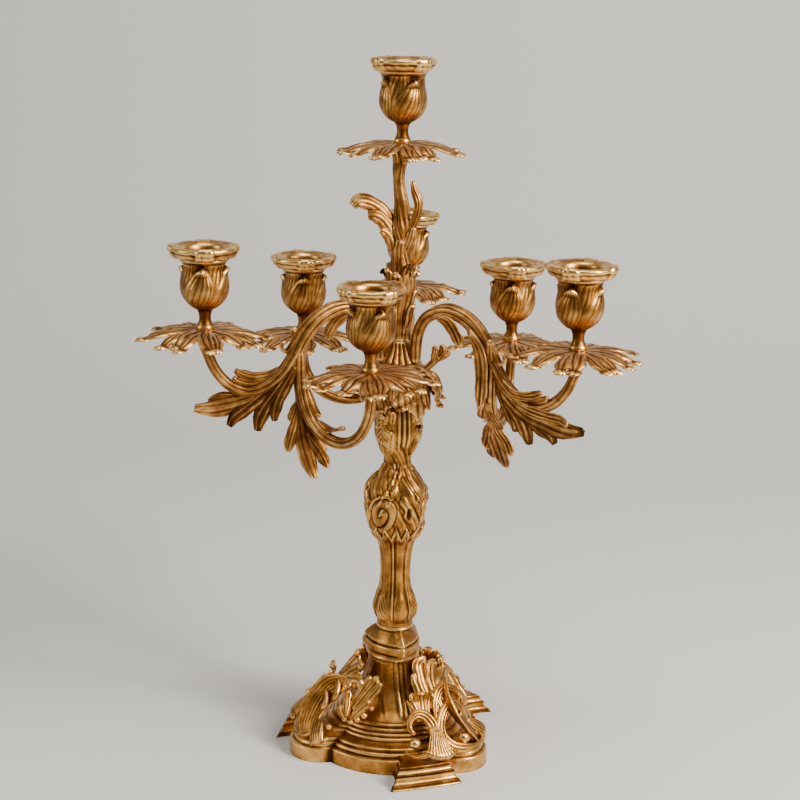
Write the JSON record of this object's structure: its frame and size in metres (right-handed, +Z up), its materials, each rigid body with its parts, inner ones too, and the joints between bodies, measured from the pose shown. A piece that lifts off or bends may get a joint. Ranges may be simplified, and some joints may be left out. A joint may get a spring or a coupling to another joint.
{
  "type": "tabletop candelabra",
  "caption": "Tabletop candelabra in gilt bronze: leafy scrolling branches with candle cups and drip pans lift out of a baluster stem on a rocaille base.",
  "frame": {"origin": "on the stem's axis, in the plane of the base's underside where it stands on the table", "axes": "+Z up along the stem, -Y towards the front that shows two cups to the right and three to the left of the stem, +X to the viewer's right"},
  "size_m": [0.3779, 0.3543, 0.562],
  "materials": {
    "gilt_stem": "satin gilt with dark patina in the hollows",
    "gilt_branches": "satin gilt, browner and more worn than the stem",
    "gilt_nozzles": "satin gilt with polished edges and olive-brown inside",
    "plain_brass": "turned, unpolished",
    "steel": "dull, lightly oiled"
  },
  "bodies": {
    "candlestick": {"base_casting": "gilt_stem", "base_washer": "steel", "base_nut": "steel", "tie_rod": "steel", "stem_casting": "gilt_stem", "rod_nut": "steel", "leaf_collar": "gilt_stem", "socket_liner": "plain_brass"},
    "swivel": {"seat_ring": "plain_brass"},
    "branches": {"arm_back": "gilt_branches", "arm_left": "gilt_branches", "arm_right": "gilt_branches", "arm_screws": "steel", "branch_nut": "steel", "branch_plug": "plain_brass", "branch_rod": "steel", "centre_branch": "gilt_branches", "cup_back_inner": "gilt_branches", "cup_back_outer": "gilt_branches", "cup_centre": "gilt_branches", "cup_left_inner": "gilt_branches", "cup_left_outer": "gilt_branches", "cup_right_inner": "gilt_branches", "cup_right_outer": "gilt_branches", "fluted_hub": "gilt_branches", "pan_back_inner": "gilt_branches", "pan_back_outer": "gilt_branches", "pan_centre": "gilt_branches", "pan_left_inner": "gilt_branches", "pan_left_outer": "gilt_branches", "pan_right_inner": "gilt_branches", "pan_right_outer": "gilt_branches", "stud_back_inner": "steel", "stud_back_outer": "steel", "stud_centre": "steel", "stud_left_inner": "steel", "stud_left_outer": "steel", "stud_right_inner": "steel", "stud_right_outer": "steel"},
    "nozzle_centre": {"nozzle_centre": "gilt_nozzles"},
    "nozzle_right_outer": {"nozzle_right_outer": "gilt_nozzles"},
    "nozzle_right_inner": {"nozzle_right_inner": "gilt_nozzles"},
    "nozzle_back_outer": {"nozzle_back_outer": "gilt_nozzles"},
    "nozzle_back_inner": {"nozzle_back_inner": "gilt_nozzles"},
    "nozzle_left_outer": {"nozzle_left_outer": "gilt_nozzles"},
    "nozzle_left_inner": {"nozzle_left_inner": "gilt_nozzles"}
  },
  "joints": [
    {"name": "branch_swivel", "type": "hinge", "parent": "candlestick", "child": "swivel", "pos_m": [0, 0, 0.32], "axis": [0, 0, 1], "continuous": true},
    {"name": "branch_lift", "type": "slide", "parent": "swivel", "child": "branches", "axis": [0, 0, 1], "range_m": [0, 0.07]},
    {"name": "lift_nozzle_centre", "type": "slide", "parent": "branches", "child": "nozzle_centre", "axis": [0, 0, 1], "range_m": [0, 0.04]},
    {"name": "lift_nozzle_right_outer", "type": "slide", "parent": "branches", "child": "nozzle_right_outer", "axis": [0, 0, 1], "range_m": [0, 0.04]},
    {"name": "lift_nozzle_right_inner", "type": "slide", "parent": "branches", "child": "nozzle_right_inner", "axis": [0, 0, 1], "range_m": [0, 0.04]},
    {"name": "lift_nozzle_back_outer", "type": "slide", "parent": "branches", "child": "nozzle_back_outer", "axis": [0, 0, 1], "range_m": [0, 0.04]},
    {"name": "lift_nozzle_back_inner", "type": "slide", "parent": "branches", "child": "nozzle_back_inner", "axis": [0, 0, 1], "range_m": [0, 0.04]},
    {"name": "lift_nozzle_left_outer", "type": "slide", "parent": "branches", "child": "nozzle_left_outer", "axis": [0, 0, 1], "range_m": [0, 0.04]},
    {"name": "lift_nozzle_left_inner", "type": "slide", "parent": "branches", "child": "nozzle_left_inner", "axis": [0, 0, 1], "range_m": [0, 0.04]}
  ]
}
